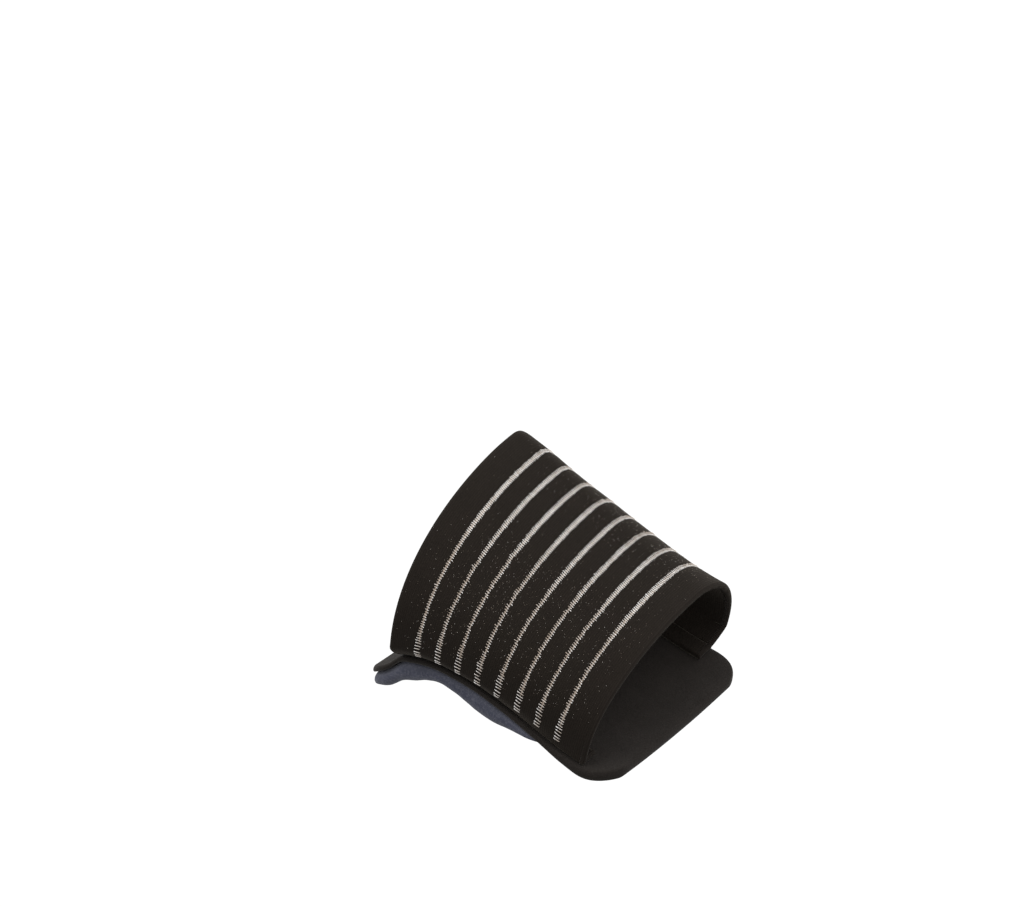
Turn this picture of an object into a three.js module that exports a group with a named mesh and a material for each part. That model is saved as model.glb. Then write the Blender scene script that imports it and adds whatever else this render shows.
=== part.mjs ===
import * as THREE from 'three';

// Arch support sleeve for a left foot, in the form it has when worn: a ribbed elastic band
// over the instep, sewn down on both rims of a soft arch pad, with a foam cushion below.
// Millimetres. +X runs to the toes, +Y to the outer side of the foot, +Z up.
// The origin is the point of the pad's upper side where the middle of the sole sits.

// Pad
const PAD_WIDTH = 72;
const PAD_REAR_MARGIN = 8.2;
const PAD_FRONT_MARGIN = 11;
const PAD_REAR_CORNER = 8;
const PAD_FRONT_CORNER = 11;
const ARCH_RISE = 13;
const OUTER_ARCH_RISE = 7.8;
const PAD_DISH = 1.8;
const COVER_THICKNESS = 2;
const CUSHION_THICKNESS = 7;
const CUSHION_LENGTH = 61;
const CUSHION_INSET = 0.6;
const CUSHION_CORNER = 7;
const CUSHION_ROUND = 2.8;

// Band. Its sides rise from its seats on the pad and swell, the more steeply the lower SIDE_ROUND,
// and it is widest at its waist, a share of its height. Past TURN_HOLD from the middle, on the
// outer side, its sections no longer turn.
const BAND_LENGTH = 64.2;
const BAND_HEIGHT = 48;
const BAND_INNER_SWELL = 8;
const BAND_OUTER_SWELL = 7;
const BAND_CREST_OFFSET = 18;
const BAND_WALL = 1.7;
const BAND_TAB = 6;
const BAND_SEAT_INSET = 1.5;
const BAND_WAIST = 0.17;
const SIDE_ROUND = 1.6;
const OUTER_ROUND = 2;
const TURN_HOLD = 15;
const TURN_ROUNDING = 8;

// Knitted ribs
const GROOVE_COUNT = 8;
const EDGE_RIB = 9.3;
const RIB_HEIGHT = 0.5;
const BAND_EDGE_RADIUS = 1;

const PIECE_GAP = 0.3;

// Pad sections from the rear edge to the front one. at: share of the pad's length.
// top: share of the arch's rise. cover, cushion: shares of their thicknesses.
const PAD_SECTIONS = [
  { at: 0.0, top: -0.06, cover: 1.0, cushion: 0.62 },
  { at: 0.05, top: 0.21, cover: 1.0, cushion: 0.7 },
  { at: 0.1, top: 0.46, cover: 1.0, cushion: 0.88 },
  { at: 0.15, top: 0.79, cover: 1.0, cushion: 0.98 },
  { at: 0.2, top: 0.9, cover: 1.0, cushion: 0.93 },
  { at: 0.25, top: 0.97, cover: 1.0, cushion: 0.76 },
  { at: 0.3, top: 1.0, cover: 1.0, cushion: 0.64 },
  { at: 0.37, top: 0.97, cover: 1.0, cushion: 0.73 },
  { at: 0.46, top: 0.88, cover: 1.0, cushion: 1.0 },
  { at: 0.53, top: 0.76, cover: 1.0, cushion: 0.95 },
  { at: 0.61, top: 0.6, cover: 1.0, cushion: 0.6 },
  { at: 0.7, top: 0.39, cover: 1.15, cushion: 0.17 },
  { at: 0.81, top: 0.15, cover: 1.55, cushion: 0.1 },
  { at: 0.9, top: 0.03, cover: 1.75, cushion: 0.1 },
  { at: 1.0, top: 0.07, cover: 1.7, cushion: 0.1 },
];

// Band sections from its rear edge to its front edge. at: share of the band's length.
// height, crest, inner, outer: shares of the band's height, crest offset and swells.
const BAND_OUTLINE = [
  { at: 0.0, height: 0.952, crest: 1.078, inner: 1.01, outer: 0.03 },
  { at: 0.25, height: 0.773, crest: 1.004, inner: 0.76, outer: 0.15 },
  { at: 0.5, height: 0.693, crest: 0.93, inner: 0.511, outer: 0.4 },
  { at: 0.75, height: 0.669, crest: 0.856, inner: 0.262, outer: 0.66 },
  { at: 1.0, height: 0.675, crest: 0.782, inner: 0.013, outer: 0.97 },
];

// How the same sections lie. tilt: forward lean in degrees. turn: turn about the vertical in
// degrees, inner side forward. innerRound: superellipse exponent of the instep on the inner side,
// as OUTER_ROUND is on the outer side.
const BAND_ATTITUDE = [
  { at: 0.0, tilt: 3.4, turn: 6.5, innerRound: 2.46 },
  { at: 0.25, tilt: 5.1, turn: 5.7, innerRound: 2.39 },
  { at: 0.5, tilt: 6.7, turn: 4.9, innerRound: 2.33 },
  { at: 0.75, tilt: 8.4, turn: 4.0, innerRound: 2.26 },
  { at: 1.0, tilt: 10.0, turn: 3.2, innerRound: 2.2 },
];

// Facets. A rib's flank and crest are shares of its pitch, and PAD_EASING packs
// the pad's sections closer towards its ends.
const TAB_STEPS = 3;
const SIDE_STEPS = 8;
const INSTEP_STEPS = 17;
const RIB_FLANK = 0.14;
const RIB_CREST = 0.5;
const RIB_FADE_STEPS = 2;
const INNER_STEPS = 8;
const PAD_STEPS = 32;
const PAD_ACROSS = 8;
const PAD_EASING = 0.08;
const RIM_STEPS = 4;
const END_STEPS = 4;
const THIN_END = 0.3;

const BAND_REAR = -BAND_LENGTH / 2;
const PAD_REAR = BAND_REAR - PAD_REAR_MARGIN;
const PAD_LENGTH = PAD_REAR_MARGIN + BAND_LENGTH + PAD_FRONT_MARGIN;
const BAND_SEAT = PAD_WIDTH / 2 - BAND_SEAT_INSET;
const RIB_PITCH = (BAND_LENGTH - 2 * EDGE_RIB) / (GROOVE_COUNT - 1);
const LAST_GROOVE = BAND_LENGTH - EDGE_RIB;

// Smooth curve through one column of a table
function column(table, name) {
  const places = table.map((row) => row.at);
  const values = table.map((row) => row[name]);
  const spline = new THREE.CubicInterpolant(places, values, 1);
  return (share) => spline.evaluate(THREE.MathUtils.clamp(share, 0, 1))[0];
}

const archShare = column(PAD_SECTIONS, 'top');
const coverShare = column(PAD_SECTIONS, 'cover');
const cushionShare = column(PAD_SECTIONS, 'cushion');
const padShare = (x) => (x - PAD_REAR) / PAD_LENGTH;

// Height of the pad's upper side above the top of its front flap
function padTop(x, y) {
  const across = THREE.MathUtils.clamp((2 * y) / PAD_WIDTH, -1, 1);
  const rise = THREE.MathUtils.lerp(ARCH_RISE, OUTER_ARCH_RISE, (across + 1) / 2);
  return rise * archShare(padShare(x)) - PAD_DISH * (1 - across * across);
}

const coverBottom = (x, y) => padTop(x, y) - COVER_THICKNESS * coverShare(padShare(x));
const cushionTop = (x, y) => coverBottom(x, y) - PIECE_GAP;
const cushionBottom = (x, y) => cushionTop(x, y) - CUSHION_THICKNESS * cushionShare(padShare(x));

// Strip of triangles that closes a ring, between its two long sides from point first to far
function endStrip(ring, first, far) {
  const count = ring.length;
  const side = (turn) => {
    const chain = [first];
    while (chain[chain.length - 1] !== far) {
      chain.push((chain[chain.length - 1] + turn + count) % count);
    }
    return chain;
  };
  const ahead = side(1);
  const behind = side(-1);
  const span = (a, b) => ring[ahead[a]].distanceTo(ring[behind[b]]);
  const faces = [];
  let a = 0;
  let b = 0;
  while (a + 1 < ahead.length || b + 1 < behind.length) {
    const behindDone = b + 1 === behind.length;
    const aheadOpen = a + 1 < ahead.length;
    const stepAhead = behindDone || (aheadOpen && span(a + 1, b) < span(a, b + 1));
    const next = stepAhead ? ahead[a + 1] : behind[b + 1];
    faces.push([ahead[a], next, behind[b]]);
    a += stepAhead ? 1 : 0;
    b += stepAhead ? 0 : 1;
  }
  return faces.filter((face) => new Set(face).size === 3);
}

// Closed mesh from a row of rings with equally many points, closed at both ends
function loft(rings, first, far) {
  const count = rings[0].length;
  const positions = rings.flat().flatMap((point) => point.toArray());
  const faces = [];
  for (let ring = 0; ring + 1 < rings.length; ring += 1) {
    for (let step = 0; step < count; step += 1) {
      const a = ring * count + step;
      const b = ring * count + ((step + 1) % count);
      faces.push(a, b, b + count, a, b + count, a + count);
    }
  }
  const last = (rings.length - 1) * count;
  for (const [a, b, c] of endStrip(rings[0], first, far)) {
    faces.push(c, b, a);
  }
  for (const [a, b, c] of endStrip(rings[rings.length - 1], first, far)) {
    faces.push(last + a, last + b, last + c);
  }
  const geometry = new THREE.BufferGeometry();
  geometry.setAttribute('position', new THREE.Float32BufferAttribute(positions, 3));
  geometry.setIndex(faces);
  geometry.computeVertexNormals();
  return geometry;
}

// Half width of a rounded plan at a distance from its end
function planHalfWidth(halfWidth, corner, distance) {
  const short = Math.max(corner - distance, 0);
  return halfWidth - corner + Math.sqrt(corner * corner - short * short);
}

// Places of the sections along a pad: close together at its rounded ends
function padStations(start, end, rearCorner, frontCorner, round) {
  const places = [];
  const quarter = Math.PI / 2;
  for (let step = 0; step < END_STEPS; step += 1) {
    places.push(start + round * (1 - Math.cos((quarter * step) / END_STEPS)));
  }
  for (let step = 0; step < PAD_STEPS; step += 1) {
    const share = step / (PAD_STEPS - 1);
    const eased = share - PAD_EASING * Math.sin(2 * Math.PI * share);
    places.push(THREE.MathUtils.lerp(start + round, end - round, eased));
  }
  for (let step = END_STEPS - 1; step >= 0; step -= 1) {
    places.push(end - round * (1 - Math.cos((quarter * step) / END_STEPS)));
  }
  return places.map((x) => ({
    x,
    rear: x - start,
    front: end - x,
    rearCorner,
    frontCorner,
  }));
}

// One ring of a pad: upper side, rounded outer rim, underside, rounded inner rim
function padRing(station, halfWidth, top, bottom, round) {
  const { x, rear, front } = station;
  const reach = Math.min(
    planHalfWidth(halfWidth, station.rearCorner, rear),
    planHalfWidth(halfWidth, station.frontCorner, front),
  );
  const nearEnd = Math.min(rear, front, round);
  const fullness = Math.sqrt(1 - (1 - nearEnd / round) ** 2);
  const swell = Math.max(fullness, THIN_END);
  const at = (y, level) => {
    const middle = (top(x, y) + bottom(x, y)) / 2;
    const half = (top(x, y) - bottom(x, y)) / 2;
    return new THREE.Vector3(x, y, middle + level * half * swell);
  };
  const rim = Math.min(round, (top(x, reach) - bottom(x, reach)) / 2);
  const flat = reach - rim;
  const ring = [];
  for (let step = 0; step <= PAD_ACROSS; step += 1) {
    ring.push(at(flat * (1 - (2 * step) / PAD_ACROSS), 1));
  }
  for (let step = 1; step < RIM_STEPS; step += 1) {
    const angle = (Math.PI * step) / RIM_STEPS;
    ring.push(at(-flat - rim * Math.sin(angle), Math.cos(angle)));
  }
  for (let step = 0; step <= PAD_ACROSS; step += 1) {
    ring.push(at(-flat * (1 - (2 * step) / PAD_ACROSS), -1));
  }
  for (let step = 1; step < RIM_STEPS; step += 1) {
    const angle = (Math.PI * step) / RIM_STEPS;
    ring.push(at(flat + rim * Math.sin(angle), -Math.cos(angle)));
  }
  return ring;
}

function padLayer(size) {
  const { start, end, halfWidth, rearCorner, frontCorner, round, top, bottom } = size;
  const stations = padStations(start, end, rearCorner, frontCorner, round);
  const rings = stations.map((station) => padRing(station, halfWidth, top, bottom, round));
  const innerRim = PAD_ACROSS + RIM_STEPS / 2;
  const outerRim = rings[0].length - RIM_STEPS / 2;
  return loft(rings, innerRim, outerRim);
}

function coverGeometry() {
  return padLayer({
    start: PAD_REAR,
    end: PAD_REAR + PAD_LENGTH,
    halfWidth: PAD_WIDTH / 2,
    rearCorner: PAD_REAR_CORNER,
    frontCorner: PAD_FRONT_CORNER,
    round: COVER_THICKNESS / 2,
    top: padTop,
    bottom: coverBottom,
  });
}

function cushionGeometry() {
  const start = PAD_REAR + CUSHION_INSET;
  return padLayer({
    start,
    end: start + CUSHION_LENGTH,
    halfWidth: PAD_WIDTH / 2 - CUSHION_INSET,
    rearCorner: PAD_REAR_CORNER - CUSHION_INSET,
    frontCorner: CUSHION_CORNER,
    round: CUSHION_ROUND,
    top: cushionTop,
    bottom: cushionBottom,
  });
}

const bandShape = {
  height: column(BAND_OUTLINE, 'height'),
  crest: column(BAND_OUTLINE, 'crest'),
  inner: column(BAND_OUTLINE, 'inner'),
  outer: column(BAND_OUTLINE, 'outer'),
  tilt: column(BAND_ATTITUDE, 'tilt'),
  turn: column(BAND_ATTITUDE, 'turn'),
  innerRound: column(BAND_ATTITUDE, 'innerRound'),
};

// Named sizes of the band's section at a share of its length
function bandSection(share) {
  const height = BAND_HEIGHT * bandShape.height(share);
  return {
    x: BAND_REAR + BAND_LENGTH * share,
    height,
    waist: BAND_WAIST * height,
    crest: BAND_CREST_OFFSET * bandShape.crest(share),
    inner: BAND_SEAT + BAND_INNER_SWELL * bandShape.inner(share),
    outer: BAND_SEAT + BAND_OUTER_SWELL * bandShape.outer(share),
    tilt: THREE.MathUtils.degToRad(bandShape.tilt(share)),
    turn: THREE.MathUtils.degToRad(bandShape.turn(share)),
    innerPower: 2 / bandShape.innerRound(share),
    outerPower: 2 / OUTER_ROUND,
  };
}

// Forward run of a section at a place across the foot: it stops turning past TURN_HOLD
function turnForward(section, y) {
  const held = (y + TURN_HOLD - Math.hypot(y - TURN_HOLD, TURN_ROUNDING)) / 2;
  return -Math.sin(section.turn) * held;
}

// Point of a section at a height above its seat, measured in the section's leaning plane
function bandPoint(section, seat, y, height) {
  const x = section.x + turnForward(section, y) + height * Math.sin(section.tilt);
  return new THREE.Vector3(x, y, seat + height * Math.cos(section.tilt));
}

// Tab that lies on the pad, from its free edge to the seat
function tabRow(section, side) {
  const row = [];
  for (let step = 0; step < TAB_STEPS; step += 1) {
    const y = side * (BAND_SEAT - BAND_TAB * (1 - step / TAB_STEPS));
    const x = section.x + turnForward(section, y);
    row.push(new THREE.Vector3(x, y, padTop(x, y) + PIECE_GAP));
  }
  return row;
}

// Half of a section from the seat up to the crest, without the crest itself
function bandHalf(section, side, reach, power) {
  const seatY = side * BAND_SEAT;
  const seat = (y) => padTop(section.x + turnForward(section, y), y) + PIECE_GAP;
  const innerSeat = seat(-BAND_SEAT);
  const drop = (seat(seatY) - innerSeat) / Math.cos(section.tilt);
  const row = [];
  const quarter = Math.PI / 2;
  for (let step = 0; step < SIDE_STEPS; step += 1) {
    const up = step / SIDE_STEPS;
    const y = side * (BAND_SEAT + (reach - BAND_SEAT) * (1 - (1 - up) ** SIDE_ROUND));
    const height = drop + (section.waist - drop) * up;
    row.push(bandPoint(section, innerSeat, y, height));
  }
  for (let step = 0; step < INSTEP_STEPS; step += 1) {
    const angle = quarter * (1 - step / INSTEP_STEPS);
    const out = Math.sin(angle) ** power;
    const up = Math.cos(angle) ** power;
    const y = section.crest + (side * reach - section.crest) * out;
    const height = section.waist + (section.height - section.waist) * up;
    row.push(bandPoint(section, innerSeat, y, height));
  }
  return row;
}

// Points of a section from the inner tab over the crest to the outer tab
function bandRow(share) {
  const section = bandSection(share);
  const innerX = section.x + turnForward(section, -BAND_SEAT);
  const innerSeat = padTop(innerX, -BAND_SEAT) + PIECE_GAP;
  const crest = bandPoint(section, innerSeat, section.crest, section.height);
  const innerHalf = bandHalf(section, -1, section.inner, section.innerPower);
  const outerHalf = bandHalf(section, 1, section.outer, section.outerPower);
  const inner = [...tabRow(section, -1), ...innerHalf];
  const outer = [...tabRow(section, 1), ...outerHalf];
  return [...inner, crest, ...outer.reverse()];
}

// Distances from the rear edge where the band is sampled: rounded edges, grooves, rib flanks, crests
function ribPlaces() {
  const rear = [0, BAND_EDGE_RADIUS / 2, BAND_EDGE_RADIUS];
  rear.push(EDGE_RIB - RIB_CREST * RIB_PITCH, EDGE_RIB - RIB_FLANK * RIB_PITCH);
  const ribs = [];
  for (let groove = 0; groove < GROOVE_COUNT - 1; groove += 1) {
    for (const phase of [0, RIB_FLANK, RIB_CREST, 1 - RIB_FLANK]) {
      ribs.push(EDGE_RIB + RIB_PITCH * (groove + phase));
    }
  }
  const front = rear.map((place) => BAND_LENGTH - place).reverse();
  return [...rear, ...ribs, LAST_GROOVE, ...front];
}

// Height of the outer face above the bottom of the grooves
function ribLift(place) {
  const beside = Math.max(EDGE_RIB - place, place - LAST_GROOVE, 0) / RIB_PITCH;
  const phase = beside > 0 ? Math.min(beside, RIB_CREST) : (place - EDGE_RIB) / RIB_PITCH;
  const rib = RIB_HEIGHT * Math.sqrt(Math.abs(Math.sin(Math.PI * phase)));
  const edge = Math.min(place, BAND_LENGTH - place, BAND_EDGE_RADIUS) / BAND_EDGE_RADIUS;
  return rib - BAND_EDGE_RADIUS * (1 - Math.sqrt(1 - (1 - edge) ** 2));
}

// Outward normal of the band's surface at one point of its net
function netNormal(net, row, step) {
  const before = net[Math.max(row - 1, 0)][step];
  const after = net[Math.min(row + 1, net.length - 1)][step];
  const under = net[row][Math.max(step - 1, 0)];
  const over = net[row][Math.min(step + 1, net[row].length - 1)];
  const along = new THREE.Vector3().subVectors(after, before);
  const round = new THREE.Vector3().subVectors(over, under);
  return along.cross(round).normalize();
}

// The ribs fade out where the band turns in to its tabs
function ribFade(step, count) {
  const fromEnd = Math.min(step, count - 1 - step);
  return THREE.MathUtils.clamp((fromEnd - TAB_STEPS - 1) / RIB_FADE_STEPS, 0, 1);
}

// Rows of the net that the plain inner face keeps, from the front edge to the rear one
function innerRows(last) {
  const rows = [];
  for (let step = INNER_STEPS - 1; step >= 0; step -= 1) {
    rows.push(Math.round((last * step) / (INNER_STEPS - 1)));
  }
  return rows;
}

function bandGeometry() {
  const places = ribPlaces();
  const net = places.map((place) => bandRow(place / BAND_LENGTH));
  const last = places.length - 1;
  const count = net[0].length;
  const moved = (row, step, by) => {
    return net[row][step].clone().addScaledVector(netNormal(net, row, step), by);
  };
  const rings = [];
  for (let step = 0; step < count; step += 1) {
    const fade = ribFade(step, count);
    const outer = places.map((place, row) => {
      const lift = ribLift(place);
      return moved(row, step, lift > 0 ? lift * fade : lift);
    });
    const inner = innerRows(last).map((row) => moved(row, step, -BAND_WALL));
    rings.push([...outer, ...inner]);
  }
  return loft(rings, 0, last);
}

const elastic = new THREE.MeshStandardMaterial({ color: 0x1c1917, roughness: 0.95, metalness: 0 });
const coverCloth = new THREE.MeshStandardMaterial({ color: 0x131212, roughness: 0.9, metalness: 0 });
const cushionCloth = new THREE.MeshStandardMaterial({ color: 0x3c4254, roughness: 0.9, metalness: 0 });

function piece(name, geometry, material) {
  const mesh = new THREE.Mesh(geometry, material);
  mesh.name = name;
  return mesh;
}

const sleeve = new THREE.Group();
sleeve.add(piece('elastic_band', bandGeometry(), elastic));
sleeve.add(piece('pad_cover', coverGeometry(), coverCloth));
sleeve.add(piece('arch_cushion', cushionGeometry(), cushionCloth));
sleeve.position.z = -padTop(0, 0);

export default sleeve;
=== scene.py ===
# Arch support sleeve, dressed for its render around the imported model.
# The part's frame: +X to the front, +Y to the outer side, +Z up.
# Forms are worked out in millimetres, as the part's own sizes are, and meshes are made in metres.
import math

import bpy
import numpy as np
from mathutils import Matrix, Vector


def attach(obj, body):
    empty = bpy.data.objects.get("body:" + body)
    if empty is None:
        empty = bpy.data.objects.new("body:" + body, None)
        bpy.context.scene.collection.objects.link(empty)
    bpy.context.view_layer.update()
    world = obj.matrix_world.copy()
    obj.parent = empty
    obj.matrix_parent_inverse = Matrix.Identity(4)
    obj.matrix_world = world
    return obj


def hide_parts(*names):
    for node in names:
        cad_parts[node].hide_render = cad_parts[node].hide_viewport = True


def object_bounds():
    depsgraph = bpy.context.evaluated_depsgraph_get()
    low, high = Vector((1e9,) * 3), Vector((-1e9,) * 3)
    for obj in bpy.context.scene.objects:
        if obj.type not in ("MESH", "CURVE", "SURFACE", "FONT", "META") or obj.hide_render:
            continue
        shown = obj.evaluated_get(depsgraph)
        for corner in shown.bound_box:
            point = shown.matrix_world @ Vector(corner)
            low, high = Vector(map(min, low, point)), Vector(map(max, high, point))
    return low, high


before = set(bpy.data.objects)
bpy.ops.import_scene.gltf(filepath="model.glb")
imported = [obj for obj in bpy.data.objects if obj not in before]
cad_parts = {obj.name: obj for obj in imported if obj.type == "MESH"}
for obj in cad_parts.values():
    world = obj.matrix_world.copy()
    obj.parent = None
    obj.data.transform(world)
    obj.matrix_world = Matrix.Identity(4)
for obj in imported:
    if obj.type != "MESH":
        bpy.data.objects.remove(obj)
cad_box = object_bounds()

MM = 0.001

# Pad, as in the part
PAD_WIDTH = 72
PAD_REAR_MARGIN = 8.2
PAD_FRONT_MARGIN = 11
PAD_REAR_CORNER = 8
PAD_FRONT_CORNER = 11
ARCH_RISE = 13
OUTER_ARCH_RISE = 7.8
PAD_DISH = 1.8
COVER_THICKNESS = 2
CUSHION_THICKNESS = 7
CUSHION_LENGTH = 61
CUSHION_INSET = 0.6
CUSHION_CORNER = 7
CUSHION_ROUND = 2.8

# Band, as in the part
BAND_LENGTH = 64.2
BAND_HEIGHT = 48
BAND_INNER_SWELL = 8
BAND_OUTER_SWELL = 7
BAND_CREST_OFFSET = 18
BAND_WALL = 1.7
BAND_TAB = 6
BAND_SEAT_INSET = 1.5
BAND_WAIST = 0.17
SIDE_ROUND = 1.6
OUTER_ROUND = 2
TURN_HOLD = 15
TURN_ROUNDING = 8
GROOVE_COUNT = 8
EDGE_RIB = 9.3
RIB_HEIGHT = 0.5
BAND_EDGE_RADIUS = 0.8
PIECE_GAP = 0.3

PAD_SECTIONS = [
    {"at": 0.0, "top": -0.06, "cover": 1.0, "cushion": 0.62},
    {"at": 0.05, "top": 0.21, "cover": 1.0, "cushion": 0.7},
    {"at": 0.1, "top": 0.46, "cover": 1.0, "cushion": 0.88},
    {"at": 0.15, "top": 0.79, "cover": 1.0, "cushion": 0.98},
    {"at": 0.2, "top": 0.9, "cover": 1.0, "cushion": 0.93},
    {"at": 0.25, "top": 0.97, "cover": 1.0, "cushion": 0.76},
    {"at": 0.3, "top": 1.0, "cover": 1.0, "cushion": 0.64},
    {"at": 0.37, "top": 0.97, "cover": 1.0, "cushion": 0.73},
    {"at": 0.46, "top": 0.88, "cover": 1.0, "cushion": 1.0},
    {"at": 0.53, "top": 0.76, "cover": 1.0, "cushion": 0.95},
    {"at": 0.61, "top": 0.6, "cover": 1.0, "cushion": 0.6},
    {"at": 0.7, "top": 0.39, "cover": 1.15, "cushion": 0.17},
    {"at": 0.81, "top": 0.15, "cover": 1.55, "cushion": 0.1},
    {"at": 0.9, "top": 0.03, "cover": 1.75, "cushion": 0.1},
    {"at": 1.0, "top": 0.07, "cover": 1.7, "cushion": 0.1},
]

BAND_OUTLINE = [
    {"at": 0.0, "height": 0.952, "crest": 1.078, "inner": 1.01, "outer": 0.03},
    {"at": 0.25, "height": 0.773, "crest": 1.004, "inner": 0.76, "outer": 0.15},
    {"at": 0.5, "height": 0.693, "crest": 0.93, "inner": 0.511, "outer": 0.4},
    {"at": 0.75, "height": 0.669, "crest": 0.856, "inner": 0.262, "outer": 0.66},
    {"at": 1.0, "height": 0.675, "crest": 0.782, "inner": 0.013, "outer": 0.97},
]

BAND_ATTITUDE = [
    {"at": 0.0, "tilt": 3.4, "turn": 6.5, "inner_round": 2.46},
    {"at": 0.25, "tilt": 5.1, "turn": 5.7, "inner_round": 2.39},
    {"at": 0.5, "tilt": 6.7, "turn": 4.9, "inner_round": 2.33},
    {"at": 0.75, "tilt": 8.4, "turn": 4.0, "inner_round": 2.26},
    {"at": 1.0, "tilt": 10.0, "turn": 3.2, "inner_round": 2.2},
]

# Steps of the band's section line: its tab, its side and its way over the crest
TAB_STEPS = 40
SIDE_STEPS = 120
OVER_STEPS = 500

# Knit of the band
BAND_COLUMNS = 230
RIB_ROWS = 12
EDGE_RIB_ROWS = 12
EDGE_ROUND_ROWS = 4
RIB_REAR_ROUND = 0.3
RIB_FRONT_ROUND = 0.14
RIB_FADE_LENGTH = 22
WEAR_REACH = 1.6

# Ladder stripes: rungs of pale thread across the grooves, over a flat core of duller thread whose low
# tone is also painted shade in the grooves
RUNG_PITCH = 0.72
RUNG_SLANT = -0.1
RUNG_SAG = 0.55
CORE_HEIGHT = 0.4
CORE_RINGS_PER_RUNG = 3

RUNG_PROFILE = [
    {"across": -1.0, "lift": -0.28, "taper": 0.35},
    {"across": -0.82, "lift": 0.08, "taper": 0.85},
    {"across": -0.45, "lift": 0.12, "taper": 1.0},
    {"across": 0.0, "lift": 0.1, "taper": 1.0},
    {"across": 0.45, "lift": 0.12, "taper": 1.0},
    {"across": 0.82, "lift": 0.08, "taper": 0.85},
    {"across": 1.0, "lift": -0.28, "taper": 0.35},
]

# How far up from the band's seat a stripe begins, at the rear and the front of the band
STRIPE_REAR_START = 8.6
STRIPE_FRONT_START = 3.6

# Lengths along a stripe from its lower end, where its look changes
STRETCH_LENGTH = 9
OPEN_LENGTH = 5
CLOSED_LENGTH = 11
DULL_LENGTH = 28
BRIGHT_LENGTH = 52

# Look of a stripe at its open lower end, where it is closed, and over the crest
STRIPE_STAGES = {
    "rung_reach": {"open": 0.98, "closed": 0.56, "crest": 0.7},
    "rung_radius": {"open": 0.1344, "closed": 0.14, "crest": 0.1456},
    "rung_lift": {"open": 0.09, "closed": 0.09, "crest": 0.23},
    "rung_tone": {"open": 0.66, "closed": 0.58, "crest": 0.88},
    "core_width": {"open": 0.312, "closed": 1.04, "crest": 1.38},
    "core_lift": {"open": 0.04, "closed": 0.04, "crest": 0.14},
    # core_tone: partly the duller thread's own tone, partly painted shade in the groove between the
    # rungs
    "core_tone": {"open": 0.38, "closed": 0.38, "crest": 0.48},
}

# Unevenness of the stripes: shares, ranges of factors, and spreads in millimetres
OPEN_STRETCH = 0.6
OPEN_SHIFT = -0.15
STRAY_SHIFT = 0.24
STRAY_SHARE = 0.16
RUNG_PLACE_SPREAD = 0.03
RUNG_SHIFT_SPREAD = 0.05
RUNG_SLANT_SPREAD = 0.04
RUNG_LIFT_SPREAD = 0.02
RUNG_REACH_RANGE = (0.82, 1.14)
RUNG_RADIUS_RANGE = (0.9, 1.1)
RUNG_TONE_RANGE = (0.85, 1.12)
# Tones of the painted highlight on the rungs' tips, and where along a rung it begins
RUNG_TIP_HIGHLIGHT_TONES = (0.8, 1.05)
RUNG_TIP_BEGINS = (0.1, 0.8)
CORE_WIDTH_RANGE = (0.94, 1.06)
CORE_TONE_RANGE = (0.92, 1.08)

# Pale fibre ends scattered through the black knit: how many, how large, and where they grow few
LINT_COUNT = 2600
LINT_TRIES = 4
LINT_LENGTHS = (0.1, 0.2)
LINT_RADII = (0.032, 0.055)
LINT_TONES = (0.1, 0.8)
LINT_EDGE_MARGIN = 0.8
LINT_GIRTH_SHARES = (0.04, 0.96)
LINT_FOOT = (6, 22)
LINT_CREST = (42, 62)
LINT_CREST_LOSS = 0.85
LINT_EDGE_LENGTH = 9
LINT_EDGE_SHARE = 0.25
LINT_PATCH_LENGTH = 21
LINT_PATCH_SHARE = 0.3
LINT_LIMIT = 0.75
LINT_ARCH = (-0.03, 0.07, -0.03)
LINT_TAPER = (0.6, 1.0, 0.6)

# Whipped edges of the band: threads that turn round its edge
WHIP_PITCH = 0.62
WHIP_RADIUS = 0.2
WHIP_REACH = 1.1
WHIP_TURN = (-0.15, 1.15)
WHIP_RINGS = 9
WHIP_LEAN = 0.16
WHIP_DEPTH = 1.2
WHIP_SINK = 0.1
WHIP_BURY = 0.4
WHIP_TUCK = 0.5
WHIP_PLACE_SPREAD = 0.04
WHIP_RANGE = (0.85, 1.1)

# Sides of the threads' sections
RUNG_SIDES = 5
CORE_SIDES = 8
LINT_SIDES = 4
WHIP_SIDES = 5

# Meshes of the pad
PAD_ROWS = 170
PAD_END_ROWS = 10
PAD_FLAT_STEPS = 44
PAD_RIM_STEPS = 12
PAD_END_SWELL = 0.05

# Unevenness of the pad: heights and wave lengths, and where the cushion is bent into folds
COVER_WAVE = 0.1
COVER_WAVE_LENGTH = 22
CUSHION_BULGE = 0.2
CUSHION_FOLD = 0.34
CUSHION_FOLD_LENGTH = 5.5
CUSHION_FOLD_STRETCH = (1, 0.35, 0.6)
CUSHION_DIMPLE = 0.08
CUSHION_DIMPLE_LENGTH = 4
FOLDS_BEGIN = (-34, -24)
FOLDS_END = (-12, 2)

# Thread colours
BLACK_FIBRE = (0.010, 0.007, 0.005)
DARK_FIBRE = (0.03, 0.024, 0.019)
DULL_FIBRE = (0.29, 0.235, 0.188)
PALE_FIBRE = (0.78, 0.765, 0.75)

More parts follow.
